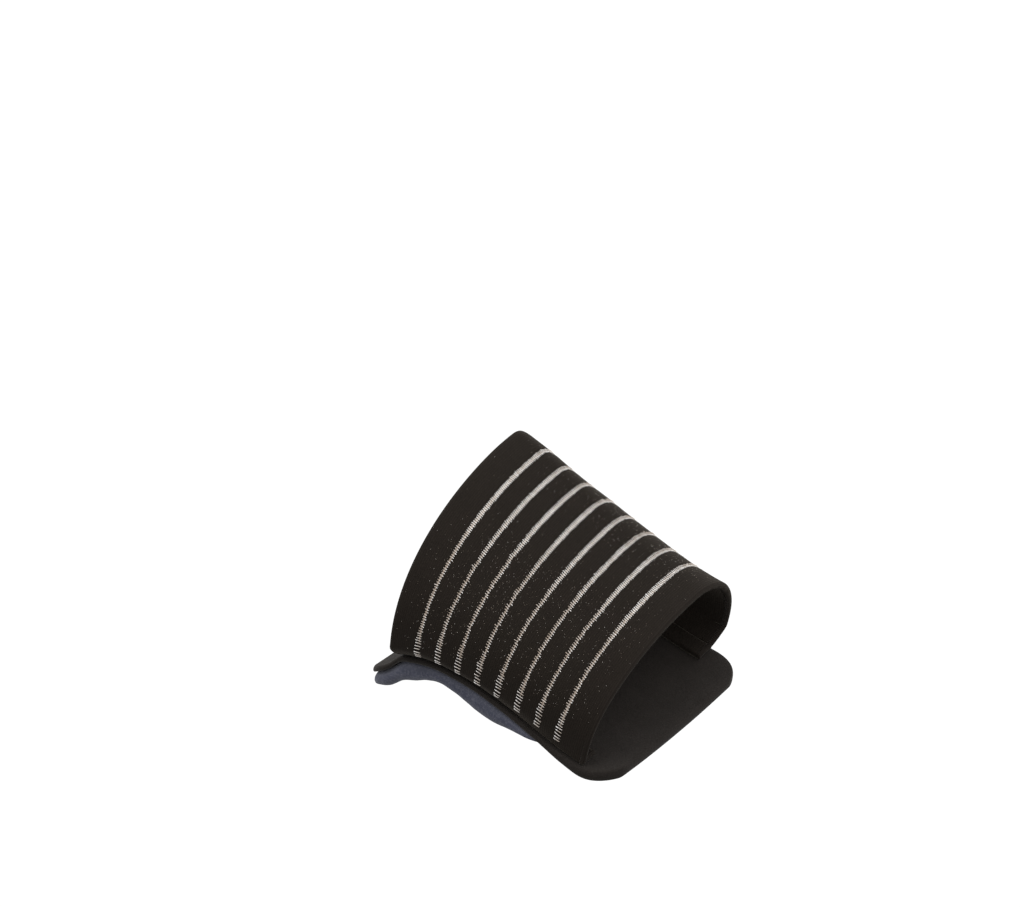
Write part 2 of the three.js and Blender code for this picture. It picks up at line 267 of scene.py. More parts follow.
# Cloth colours
KNIT_COLOURS = {
    "deep": (0.0062, 0.0042, 0.0028),
    "plain": (0.0088, 0.0062, 0.0043),
    "fuzz": (0.0120, 0.0090, 0.0066),
    "worn": (0.017, 0.0135, 0.011),
    # between: painted shade in the hollows between the stitches
    "between": (0.0052, 0.0035, 0.0023),
}
COVER_COLOURS = {
    "deep": (0.0088, 0.0068, 0.0054),
    "plain": (0.0135, 0.0108, 0.0092),
    "nap": (0.020, 0.017, 0.0152),
}
CUSHION_COLOURS = {
    "deep": (0.034, 0.037, 0.055),
    "plain": (0.054, 0.056, 0.079),
    "nap": (0.094, 0.095, 0.118),
    # edge: painted highlight, paler on the cushion's upper side as where it meets the light
    "edge": (0.085, 0.088, 0.108),
}

# Finishes: their roughness, and in metres the sizes of clouding and grain and the depth of bump
FINISHES = {
    "knit": {"roughness": 0.88, "cloud": 0.006, "grain": 0.0005, "bump": 0.00008},
    "thread": {"roughness": 0.72, "cloud": None, "grain": 0.00025, "bump": 0.00006},
    "cover": {"roughness": 0.8, "cloud": 0.008, "grain": 0.00035, "bump": 0.00012},
    "cushion": {"roughness": 0.92, "cloud": 0.005, "grain": 0.0007, "bump": 0.00015},
}
SHEENS = {
    "knit": {"weight": 0.07, "roughness": 0.4, "tint": (0.95, 0.82, 0.68)},
    "thread": {"weight": 0.1, "roughness": 0.4, "tint": (1, 1, 1)},
    "cover": {"weight": 0.12, "roughness": 0.4, "tint": (0.9, 0.86, 0.82)},
    "cushion": {"weight": 0.2, "roughness": 0.5, "tint": (0.9, 0.92, 1.0)},
}
SPECULAR_LEVEL = 0.12
WALE = 0.62
COURSE = 0.55
STITCH_DEPTH = 0.00006
STITCH_RISE = 0.45
WEAR_STRENGTH = 0.35

# Camera, in millimetres and unit vectors
CAMERA_PLACE = (527.42, -840.88, 692.90)
CAMERA_RIGHT = (0.81869, 0.57178, 0.05302)
CAMERA_UP = (-0.34392, 0.41430, 0.84266)
CAMERA_LENS = 151.2
CAMERA_RANGE = 20
SENSOR_WIDTH = 36

# Surroundings: lengths and places in metres, power in watts, the sky as brightness
BACKDROP_HALF = 6
BACKDROP_DROP = 0.3
SKY_SPREAD = 0.6
SKY_BELOW = 0.3
SKY_ABOVE = 1.0
LIGHT_AIM = (0, 0, 0.02)
LIGHTS = [
    {"name": "key_light", "place": (-0.5, -0.9, 1.5), "size": 1.2, "power": 14},
    {"name": "top_light", "place": (0.5, 0.4, 1.6), "size": 1.4, "power": 14},
    {"name": "front_light", "place": (1.3, -0.9, 0.6), "size": 0.9, "power": 4},
]

# Seeds of everything that is uneven
THREAD_SEED = 41
COVER_SEED = 5
FOLD_SEED = 12
DIMPLE_SEED = 6
LINT_SEED = 8

BAND_REAR = -BAND_LENGTH / 2
PAD_REAR = BAND_REAR - PAD_REAR_MARGIN
PAD_LENGTH = PAD_REAR_MARGIN + BAND_LENGTH + PAD_FRONT_MARGIN
BAND_SEAT = PAD_WIDTH / 2 - BAND_SEAT_INSET
RIB_PITCH = (BAND_LENGTH - 2 * EDGE_RIB) / (GROOVE_COUNT - 1)
LAST_GROOVE = BAND_LENGTH - EDGE_RIB
GROOVES = [EDGE_RIB + RIB_PITCH * groove for groove in range(GROOVE_COUNT)]


def smooth(low, high, value):
    share = np.clip((np.asarray(value, float) - low) / (high - low), 0, 1)
    return share * share * (3 - 2 * share)


def mix(low, high, share):
    return low + (high - low) * share


def unit(vectors):
    return vectors / np.maximum(np.linalg.norm(vectors, axis=-1, keepdims=True), 1e-9)


def column(table, name):
    """Smooth curve through one column of a table, as the part draws it."""
    places = np.array([row["at"] for row in table])
    values = np.array([row[name] for row in table])
    last = len(places) - 1

    def curve(share):
        share = np.clip(share, 0, 1)
        right = np.clip(np.searchsorted(places, share, side="right"), 1, last)
        left = right - 1
        before = np.where(left > 0, left - 1, right)
        after = np.where(right < last, np.minimum(right + 1, last), left)
        step = places[right] - places[left]
        pull_before = step / 2 / (places[left] - places[before])
        pull_after = step / 2 / (places[after] - places[right])
        p = (share - places[left]) / step
        p2 = p * p
        p3 = p2 * p
        from_before = -pull_before * (p3 - 2 * p2 + p)
        from_left = (1 + pull_before) * p3 - (1.5 + 2 * pull_before) * p2
        from_left = from_left + (pull_before - 0.5) * p + 1
        from_right = -(1 + pull_after) * p3 + (1.5 + pull_after) * p2 + 0.5 * p
        from_after = pull_after * (p3 - p2)
        near = from_left * values[left] + from_right * values[right]
        return near + from_before * values[before] + from_after * values[after]

    return curve


arch_share = column(PAD_SECTIONS, "top")
cover_share = column(PAD_SECTIONS, "cover")
cushion_share = column(PAD_SECTIONS, "cushion")
outline = {name: column(BAND_OUTLINE, name) for name in ("height", "crest", "inner", "outer")}
attitude = {name: column(BAND_ATTITUDE, name) for name in ("tilt", "turn", "inner_round")}


def pad_share(x):
    return (x - PAD_REAR) / PAD_LENGTH


def flap_level_top(x, y):
    """Height of the pad's upper side above the top of its front flap."""
    across = np.clip(2 * np.asarray(y) / PAD_WIDTH, -1, 1)
    rise = mix(ARCH_RISE, OUTER_ARCH_RISE, (across + 1) / 2)
    return rise * arch_share(pad_share(x)) - PAD_DISH * (1 - across * across)


ORIGIN_LEVEL = float(flap_level_top(0, 0))


def pad_top(x, y):
    return flap_level_top(x, y) - ORIGIN_LEVEL


def cover_bottom(x, y):
    return pad_top(x, y) - COVER_THICKNESS * cover_share(pad_share(x))


def cushion_top(x, y):
    return cover_bottom(x, y) - PIECE_GAP


def cushion_bottom(x, y):
    return cushion_top(x, y) - CUSHION_THICKNESS * cushion_share(pad_share(x))


def ripple(points, wave_length, seed):
    """Gentle unevenness from -1 to 1 at each point, from a few fixed waves."""
    rng = np.random.default_rng(seed)
    total = np.zeros(points.shape[:-1])
    waves = 7
    for _ in range(waves):
        direction = unit(rng.normal(size=3))
        stretch = rng.uniform(0.7, 1.6)
        phase = rng.uniform(0, 2 * np.pi)
        total += np.sin(points @ direction * 2 * np.pi * stretch / wave_length + phase)
    return total / waves


def band_section(place):
    """Dense line of one section, from its inner tab over the crest to its outer tab."""
    share = place / BAND_LENGTH
    height = BAND_HEIGHT * outline["height"](share)
    waist = BAND_WAIST * height
    crest = BAND_CREST_OFFSET * outline["crest"](share)
    tilt = math.radians(attitude["tilt"](share))
    turn = math.radians(attitude["turn"](share))
    middle = BAND_REAR + place

    def forward(y):
        return -math.sin(turn) * (y + TURN_HOLD - np.hypot(y - TURN_HOLD, TURN_ROUNDING)) / 2

    def seat(y):
        return pad_top(middle + forward(y), y) + PIECE_GAP

    inner_seat = seat(-BAND_SEAT)

    def lean(y, rise):
        x = middle + forward(y) + rise * math.sin(tilt)
        return np.stack([x, y, inner_seat + rise * math.cos(tilt)], -1)

    def half(side, reach, power):
        tab_y = side * np.linspace(BAND_SEAT - BAND_TAB, BAND_SEAT, TAB_STEPS, endpoint=False)
        tab = np.stack([middle + forward(tab_y), tab_y, seat(tab_y)], -1)
        drop = (seat(side * BAND_SEAT) - inner_seat) / math.cos(tilt)
        up = np.linspace(0, 1, SIDE_STEPS, endpoint=False)
        side_y = side * (BAND_SEAT + (reach - BAND_SEAT) * (1 - (1 - up) ** SIDE_ROUND))
        side_h = drop + (waist - drop) * up
        over = np.linspace(math.pi / 2, 0, OVER_STEPS, endpoint=False)
        over_y = crest + (side * reach - crest) * np.sin(over) ** power
        over_h = waist + (height - waist) * np.cos(over) ** power
        return np.concatenate([tab, lean(side_y, side_h), lean(over_y, over_h)])

    inner_reach = BAND_SEAT + BAND_INNER_SWELL * outline["inner"](share)
    outer_reach = BAND_SEAT + BAND_OUTER_SWELL * outline["outer"](share)
    inner = half(-1, inner_reach, 2 / attitude["inner_round"](share))
    outer = half(1, outer_reach, 2 / OUTER_ROUND)
    top = lean(np.array([crest]), np.array([height]))
    return np.concatenate([inner, top, outer[::-1]])


class Cloth:
    """The band's stretched surface under its ribs, read at any place and share of its girth."""

    def __init__(self, rows=120, columns=1200):
        self.places = np.linspace(0, BAND_LENGTH, rows)
        shares = np.linspace(0, 1, columns)
        net = []
        girths = []
        for place in self.places:
            line = band_section(place)
            steps = np.linalg.norm(np.diff(line, axis=0), axis=1)
            run = np.concatenate([[0], np.cumsum(steps)])
            net.append(np.stack([np.interp(shares * run[-1], run, line[:, k]) for k in range(3)], -1))
            girths.append(run[-1])
        self.net = np.array(net)
        self.girths = np.array(girths)
        along = np.gradient(self.net, axis=0)
        over = np.gradient(self.net, axis=1)
        self.normals = unit(np.cross(along, over))

    def girth(self, place):
        return np.interp(place, self.places, self.girths)

    def read(self, field, place, share):
        rows, columns = field.shape[:2]
        row = np.asarray(place, float) / BAND_LENGTH * (rows - 1)
        column_ = np.asarray(share, float) * (columns - 1)
        row, column_ = np.broadcast_arrays(row, column_)
        r = np.clip(np.floor(row).astype(int), 0, rows - 2)
        c = np.clip(np.floor(column_).astype(int), 0, columns - 2)
        fr = (row - r)[..., None]
        fc = (column_ - c)[..., None]
        near = mix(field[r, c], field[r, c + 1], fc)
        far = mix(field[r + 1, c], field[r + 1, c + 1], fc)
        return mix(near, far, fr)

    def at(self, place, share, lift=0.0):
        base = self.read(self.net, place, share)
        return base + unit(self.read(self.normals, place, share)) * np.asarray(lift)[..., None]


def from_end(cloth, place, share):
    """Distance along a section from the nearer end, measured past the tab."""
    girth = cloth.girth(place)
    return np.minimum(share, 1 - share) * girth - BAND_TAB


def from_edge(place):
    """Distance of a place from the nearer edge of the band."""
    return np.minimum(place, BAND_LENGTH - place)


def edge_rounding(place):
    """How far the rounded edge of the band drops at a place."""
    edge = np.clip(from_edge(place) / BAND_EDGE_RADIUS, 0, 1)
    return BAND_EDGE_RADIUS * (1 - np.sqrt(1 - (1 - edge) ** 2))


def rib_fullness(end):
    """How far the ribs stand out, from 0 at the band's seat to 1."""
    return smooth(0, RIB_FADE_LENGTH, end)


def rib_lift(place, fullness):
    """Height of the knit above the grooves: round behind each groove, steeper ahead of the next."""
    place = np.asarray(place, float)
    phase = np.mod((place - EDGE_RIB) / RIB_PITCH, 1)
    behind = np.where(place > LAST_GROOVE, (place - LAST_GROOVE) / RIB_PITCH, phase)
    ahead = np.where(place < EDGE_RIB, (EDGE_RIB - place) / RIB_PITCH, 1 - phase)
    rear = np.where(place < EDGE_RIB, 1, np.clip(behind / RIB_REAR_ROUND, 0, 1))
    front = np.where(place > LAST_GROOVE, 1, np.clip(ahead / RIB_FRONT_ROUND, 0, 1))
    pillow = np.sqrt(1 - (1 - rear) ** 2) * np.sqrt(1 - (1 - front) ** 2)
    return RIB_HEIGHT * pillow * fullness - edge_rounding(place)


def band_places():
    """Distances of the band's rows from its rear edge, close together at edges and grooves."""
    quarter = np.linspace(0, math.pi / 2, EDGE_ROUND_ROWS, endpoint=False)
    edge = BAND_EDGE_RADIUS * (1 - np.cos(quarter))
    edge_rib = np.linspace(BAND_EDGE_RADIUS, EDGE_RIB, EDGE_RIB_ROWS, endpoint=False)
    step = (1 - np.cos(np.linspace(0, math.pi, RIB_ROWS, endpoint=False))) / 2
    ribs = [EDGE_RIB + RIB_PITCH * (groove + step) for groove in range(GROOVE_COUNT - 1)]
    outer = np.concatenate([edge, edge_rib])
    return np.concatenate([outer, *ribs, [LAST_GROOVE], (BAND_LENGTH - outer)[::-1]])


def new_object(name, points, faces, values=None):
    """Mesh object from points in millimetres, with named values on its points."""
    mesh = bpy.data.meshes.new(name)
    mesh.from_pydata(np.asarray(points) * MM, [], faces)
    for key, value in (values or {}).items():
        value = np.asarray(value, np.float32)
        kind = "FLOAT" if value.ndim == 1 else "FLOAT_VECTOR"
        layer = mesh.attributes.new(key, kind, "POINT")
        layer.data.foreach_set("value" if value.ndim == 1 else "vector", value.ravel())
    mesh.validate()
    mesh.shade_smooth()
    obj = bpy.data.objects.new(name, mesh)
    bpy.context.scene.collection.objects.link(obj)
    return obj


def ring_faces(rings, count, offset=0):
    """Quads between rings of count points each, and between each ring's last and first point."""
    ring, step = np.meshgrid(np.arange(rings - 1), np.arange(count), indexing="ij")
    a = ring * count + step
    b = ring * count + (step + 1) % count
    quads = np.stack([a, b, b + count, a + count], -1).reshape(-1, 4) + offset
    return quads.tolist()


def band_mesh(cloth):
    places = band_places()
    rows = len(places)
    shares = np.linspace(0, 1, BAND_COLUMNS)
    rings = []
    for share in shares:
        fullness = rib_fullness(from_end(cloth, places, share))
        outer = cloth.at(places, share, rib_lift(places, fullness))
        inner = cloth.at(places, share, edge_rounding(places) - BAND_WALL)
        rings.append(np.concatenate([outer, inner[::-1]]))
    points = np.array(rings)
    count = 2 * rows
    faces = ring_faces(BAND_COLUMNS, count)
    last = (BAND_COLUMNS - 1) * count
    for row in range(rows - 1):
        facing = [row, count - 1 - row, count - 2 - row, row + 1]
        faces.append(facing)
        faces.append([last + corner for corner in reversed(facing)])
    along = np.concatenate([places, places[::-1]])
    weave = np.zeros((BAND_COLUMNS, count, 3))
    weave[..., 0] = along[None, :]
    weave[..., 1] = shares[:, None] * cloth.girth(along)[None, :]
    wear = np.broadcast_to(1 - smooth(0, WEAR_REACH, from_edge(along)), (BAND_COLUMNS, count))
    values = {"weave": weave.reshape(-1, 3), "wear": wear.ravel()}
    return new_object("band_cloth", points.reshape(-1, 3), faces, values)


def tubes(centres, ups, wide, high, sides):
    """Closed threads. centres and ups: threads x rings x 3. wide, high: half sizes of each ring."""
    tangents = unit(np.gradient(centres, axis=1))
    across = unit(np.cross(tangents, ups))
    raised = unit(np.cross(across, tangents))
    angles = np.arange(sides) * 2 * np.pi / sides
    wide = np.broadcast_to(wide, centres.shape[:2])[..., None, None]
    high = np.broadcast_to(high, centres.shape[:2])[..., None, None]
    out = across[:, :, None, :] * np.cos(angles)[:, None] * wide
    out = out + raised[:, :, None, :] * np.sin(angles)[:, None] * high
    points = centres[:, :, None, :] + out
    threads, rings = centres.shape[:2]
    faces = []
    for thread in range(threads):
        offset = thread * rings * sides
        faces += ring_faces(rings, sides, offset)
        faces.append([offset + side for side in reversed(range(sides))])
        faces.append([offset + (rings - 1) * sides + side for side in range(sides)])
    return points.reshape(-1, 3), faces


def join(parts):
    """One set of points, faces and tones from several."""
    points = []
    faces = []
    tones = []
    offset = 0
    for part_points, part_faces, part_tones in parts:
        points.append(part_points)
        faces += [[corner + offset for corner in face] for face in part_faces]
        tones.append(part_tones)
        offset += len(part_points)
    return np.concatenate(points), faces, np.concatenate(tones)


def stripe_start(groove):
    """Distance from the end of the band's cloth to the lower end of a stripe."""
    return BAND_TAB + mix(STRIPE_REAR_START, STRIPE_FRONT_START, groove / LAST_GROOVE)


def stripe_stage(end):
    """How open a stripe is at a distance from its lower end, and how near its crest, from 0 to 1."""
    loose = 1 - smooth(OPEN_LENGTH, CLOSED_LENGTH, end)
    top = smooth(DULL_LENGTH, BRIGHT_LENGTH, end)
    return loose, top


def staged(name, loose, top):
    """Value of one row of the stripes' stages at places along a stripe."""
    row = STRIPE_STAGES[name]
    return mix(mix(row["closed"], row["crest"], top), row["open"], loose)


def rung_centres(girth, start):
    """Places of a stripe's rungs along its section, further apart near its lower ends."""
    centres = [start]
    while centres[-1] < girth - start:
        low = min(centres[-1], girth - centres[-1]) - start
        stretch = OPEN_STRETCH * (1 - smooth(0, STRETCH_LENGTH, low))
        centres.append(centres[-1] + RUNG_PITCH * (1 + stretch))
    return np.array(centres)


def rung_column(name):
    return np.array([row[name] for row in RUNG_PROFILE])


def rung_tones(loose, top, rng):
    """Tones along each rung, with a painted highlight on its tip to the front, or to the rear on an open
    rung.
    """
    across = rung_column("across")
    tone = staged("rung_tone", loose, top)[:, None]
    tone = tone * rng.uniform(*RUNG_TONE_RANGE, (len(loose), 1))
    # Painted highlight: one tip of each rung is brightened, as where it stands over the rib's flank in
    # the light.
    tip_highlight_tone = np.maximum(tone, rng.uniform(*RUNG_TIP_HIGHLIGHT_TONES, (len(loose), 1)))
    tip = smooth(*RUNG_TIP_BEGINS, mix(across, -across, loose[:, None]))
    return mix(tone, tip_highlight_tone, tip)


def rungs(cloth, groove, rng):
    """The short threads that cross one groove."""
    girth = cloth.girth(groove)
    start = stripe_start(groove)
    centres = rung_centres(girth, start)
    count = len(centres)
    centres = centres + rng.normal(0, RUNG_PLACE_SPREAD, count)
    end = np.minimum(centres, girth - centres) - start
    loose, top = stripe_stage(end)
    reach = staged("rung_reach", loose, top) * rng.uniform(*RUNG_REACH_RANGE, count)
    stray = (rng.uniform(size=count) < STRAY_SHARE * (1 - top) ** 2) * rng.choice([-1, 1], count)
    shift = rng.normal(0, RUNG_SHIFT_SPREAD, count) + OPEN_SHIFT * loose + STRAY_SHIFT * stray
    slant = RUNG_SLANT * np.where(centres < girth / 2, 1, -1)
    slant = slant + rng.normal(0, RUNG_SLANT_SPREAD, count)
    across = rung_column("across")
    place = groove + shift[:, None] + reach[:, None] * across
    share = (centres[:, None] + slant[:, None] * across) / girth
    fullness = rib_fullness(end + start - BAND_TAB)[:, None]
    ground = rib_lift(groove + RUNG_SAG * (place - groove), fullness)
    lift = ground + rung_column("lift") + staged("rung_lift", loose, top)[:, None]
    lift = lift + rng.normal(0, RUNG_LIFT_SPREAD, (count, 1))
    path = cloth.at(place, share, lift)
    ups = unit(cloth.read(cloth.normals, place, share))
    thick = staged("rung_radius", loose, top)[:, None] * rung_column("taper")
    thick = thick * rng.uniform(*RUNG_RADIUS_RANGE, (count, 1))
    points, faces = tubes(path, ups, thick, thick, RUNG_SIDES)
    return points, faces, np.repeat(rung_tones(loose, top, rng).ravel(), RUNG_SIDES)


def core(cloth, groove, rng):
    """The flat thread along one groove, thin where the rungs stand open."""
    girth = cloth.girth(groove)
    start = stripe_start(groove)
    step = RUNG_PITCH / CORE_RINGS_PER_RUNG
    run = np.arange(start + OPEN_LENGTH, girth - start - OPEN_LENGTH, step)
    count = len(run)
    end = np.minimum(run, girth - run) - start
    loose, top = stripe_stage(end)
    width = staged("core_width", loose, top) * rng.uniform(*CORE_WIDTH_RANGE, count)
    share = run / girth
    fullness = rib_fullness(end + start - BAND_TAB)
    lift = rib_lift(groove, fullness) + staged("core_lift", loose, top)
    path = cloth.at(groove, share, lift)[None]
    ups = unit(cloth.read(cloth.normals, groove, share))[None]
    points, faces = tubes(path, ups, width[None] / 2, CORE_HEIGHT / 2, CORE_SIDES)
    # The core's low tone is partly the duller thread's own colour and partly painted shade in the groove
    # between the rungs.
    tone = staged("core_tone", loose, top) * rng.uniform(*CORE_TONE_RANGE, count)
    return points, faces, np.repeat(tone, CORE_SIDES)


def lint_places(cloth, rng):
    """Where fibre ends stand in the knit: most low on the sides, few at edges and over the crest."""
    tries = LINT_TRIES * LINT_COUNT
    place = rng.uniform(LINT_EDGE_MARGIN, BAND_LENGTH - LINT_EDGE_MARGIN, tries)
    girth = cloth.girth(place)
    run = rng.uniform(*LINT_GIRTH_SHARES, tries) * girth
    end = np.minimum(run, girth - run) - BAND_TAB
    likely = smooth(*LINT_FOOT, end) * (1 - LINT_CREST_LOSS * smooth(*LINT_CREST, end))
    inside = np.clip(from_edge(place) / LINT_EDGE_LENGTH, LINT_EDGE_SHARE, 1)
    flat_place = np.stack([place, run, 0 * run], -1)
    patch = 0.5 + 0.5 * ripple(flat_place, LINT_PATCH_LENGTH, LINT_SEED)
    wanted = likely * inside * mix(LINT_PATCH_SHARE, 1.0, patch)
    keep = np.flatnonzero(rng.uniform(0, LINT_LIMIT, tries) < wanted)[:LINT_COUNT]
    return place[keep], run[keep], end[keep]


def lint(cloth, rng):
    """Tiny arched ends of pale fibre scattered through the black knit."""
    place, run, end = lint_places(cloth, rng)
    count = len(place)
    length = rng.uniform(*LINT_LENGTHS, count)
    angle = rng.uniform(0, np.pi, count)
    radius = rng.uniform(*LINT_RADII, count)
    tone = rng.uniform(*LINT_TONES, count)
    span = np.array([-0.5, 0.0, 0.5])
    along = place[:, None] + (length * np.cos(angle))[:, None] * span
    over = run[:, None] + (length * np.sin(angle))[:, None] * span
    share = over / cloth.girth(along)
    lift = rib_lift(along, rib_fullness(end)[:, None]) + np.array(LINT_ARCH)
    path = cloth.at(along, share, lift)
    ups = unit(cloth.read(cloth.normals, along, share))
    thick = radius[:, None] * np.array(LINT_TAPER)
    points, faces = tubes(path, ups, thick, thick, LINT_SIDES)
    return points, faces, np.repeat(tone, len(span) * LINT_SIDES)


def whipping(cloth, edge, rng):
    """Threads whipped over one edge of the band."""
    inward = 1 if edge == 0 else -1
    girth = cloth.girth(edge)
    run = np.arange(WHIP_PITCH / 2, girth, WHIP_PITCH)
    count = len(run)
    run = run + rng.normal(0, WHIP_PLACE_SPREAD, count)
    angle = np.linspace(*WHIP_TURN, WHIP_RINGS) * np.pi
    reach = WHIP_REACH * rng.uniform(*WHIP_RANGE, (count, 1))
    bury = WHIP_RADIUS * WHIP_BURY
    inside = inward * (bury + reach * (1 - np.sin(np.clip(angle, 0, np.pi))))
    inside = inside + inward * reach * WHIP_TUCK * np.maximum(-np.sin(angle), 0)
    middle = -BAND_WALL / 2
    half = BAND_WALL / 2 - WHIP_SINK + bury
    lift = middle + half * np.cos(angle)[None, :] * np.ones((count, 1))
    share = (run[:, None] + WHIP_LEAN * np.cos(angle)) / girth
    path = cloth.at(edge + inside, share, lift)
    ups = path - cloth.at(edge + inward * WHIP_DEPTH, share, middle + 0 * lift)
    thick = WHIP_RADIUS * rng.uniform(*WHIP_RANGE, (count, 1)) * np.ones((1, WHIP_RINGS))
    points, faces = tubes(path, unit(ups), thick, thick, WHIP_SIDES)
    return points, faces, np.zeros(len(points))


def thread_piece(name, parts):
    points, faces, tones = join(parts)
    return new_object(name, points, faces, {"tone": tones})


def plan_half_width(half_width, corner, distance):
    """Half width of a pad at a distance from its end, where its corners are rounded."""
    short = np.maximum(corner - distance, 0)
    return half_width - corner + np.sqrt(corner * corner - short * short)


def pad_stations(start, end, round_, count, end_count):
    """Places of a pad's sections, close together at its rounded ends."""
    quarter = np.linspace(0, math.pi / 2, end_count, endpoint=False)
    ends = round_ * (1 - np.cos(quarter))
    middle = np.linspace(start + round_, end - round_, count)
    return np.concatenate([start + ends, middle, (end - ends)[::-1]])


def pad_mesh(name, size, relief):
    """Closed pad: upper side, full round outer rim, underside and inner rim, as in the part."""
    start, end, half_width = size["start"], size["end"], size["half_width"]
    round_ = size["round"]
    points = []
    rim_level = []
    for x in pad_stations(start, end, round_, PAD_ROWS, PAD_END_ROWS):
        rear_reach = plan_half_width(half_width, size["rear_corner"], x - start)
        front_reach = plan_half_width(half_width, size["front_corner"], end - x)
        reach = min(rear_reach, front_reach)
        near_end = min(x - start, end - x, round_)
        swell = max(math.sqrt(1 - (1 - near_end / round_) ** 2), PAD_END_SWELL)
        rim = min(round_, (size["top"](x, reach) - size["bottom"](x, reach)) / 2)
        flat = reach - rim
        run = np.linspace(1, -1, PAD_FLAT_STEPS + 1) * flat
        turn = np.linspace(0, math.pi, PAD_RIM_STEPS + 1)[1:-1]
        y = np.concatenate([run, -flat - rim * np.sin(turn), -run, flat + rim * np.sin(turn)])
        level = np.concatenate([np.ones(len(run)), np.cos(turn), -np.ones(len(run)), -np.cos(turn)])
        middle = (size["top"](x, y) + size["bottom"](x, y)) / 2
        half = (size["top"](x, y) - size["bottom"](x, y)) / 2
        points.append(np.stack([np.full_like(y, x), y, middle + level * half * swell], -1))
        rim_level.append(level)
    points = np.array(points)
    rim_level = np.array(rim_level)
    points = relief(points, rim_level)
    rings, count = points.shape[:2]
    faces = ring_faces(rings, count)
    for ring, flip in ((0, True), (rings - 1, False)):
        faces += end_faces(ring * count, count, flip)
    return new_object(name, points.reshape(-1, 3), faces, {"level": rim_level.ravel()})


def end_faces(offset, count, flip):
    """Quads that close an end ring of a pad, between its upper and lower run."""
    first = count - PAD_RIM_STEPS // 2
    steps = count // 2
    ahead = [(first + step) % count for step in range(steps + 1)]
    behind = [(first - step) % count for step in range(steps + 1)]
    faces = []
    for step in range(steps):
        corners = [ahead[step], ahead[step + 1], behind[step + 1], behind[step]]
        corners = list(dict.fromkeys(corners))
        if flip:
            corners.reverse()
        faces.append([offset + corner for corner in corners])
    return faces


def soft_foam(points, _level):
    """Cover layer: foam under cloth, a little uneven."""
    points[..., 2] += COVER_WAVE * ripple(points, COVER_WAVE_LENGTH, COVER_SEED)
    return points


def pressed_foam(points, level):
    """Cushion: fuller in the middle of its rim, with shallow folds where it bends."""
    rim = np.sqrt(np.clip(1 - level * level, 0, 1))
    bent = smooth(*FOLDS_BEGIN, points[..., 0]) * (1 - smooth(*FOLDS_END, points[..., 0]))
    folds = ripple(points * np.array(CUSHION_FOLD_STRETCH), CUSHION_FOLD_LENGTH, FOLD_SEED)
    dimples = ripple(points, CUSHION_DIMPLE_LENGTH, DIMPLE_SEED)
    bulge = CUSHION_BULGE + CUSHION_FOLD * folds * bent + CUSHION_DIMPLE * dimples
    points[..., 1] += np.sign(points[..., 1]) * rim * bulge
    return points


def make_cover():
    size = {
        "start": PAD_REAR,
        "end": PAD_REAR + PAD_LENGTH,
        "half_width": PAD_WIDTH / 2,
        "rear_corner": PAD_REAR_CORNER,
        "front_corner": PAD_FRONT_CORNER,
        "round": COVER_THICKNESS / 2,
        "top": pad_top,
        "bottom": cover_bottom,
    }
    return pad_mesh("cover_layer", size, soft_foam)


def make_cushion():
    start = PAD_REAR + CUSHION_INSET
    size = {
        "start": start,
        "end": start + CUSHION_LENGTH,
        "half_width": PAD_WIDTH / 2 - CUSHION_INSET,
        "rear_corner": PAD_REAR_CORNER - CUSHION_INSET,
        "front_corner": CUSHION_CORNER,
        "round": CUSHION_ROUND,
        "top": cushion_top,
        "bottom": cushion_bottom,
    }
    return pad_mesh("arch_foam", size, pressed_foam)


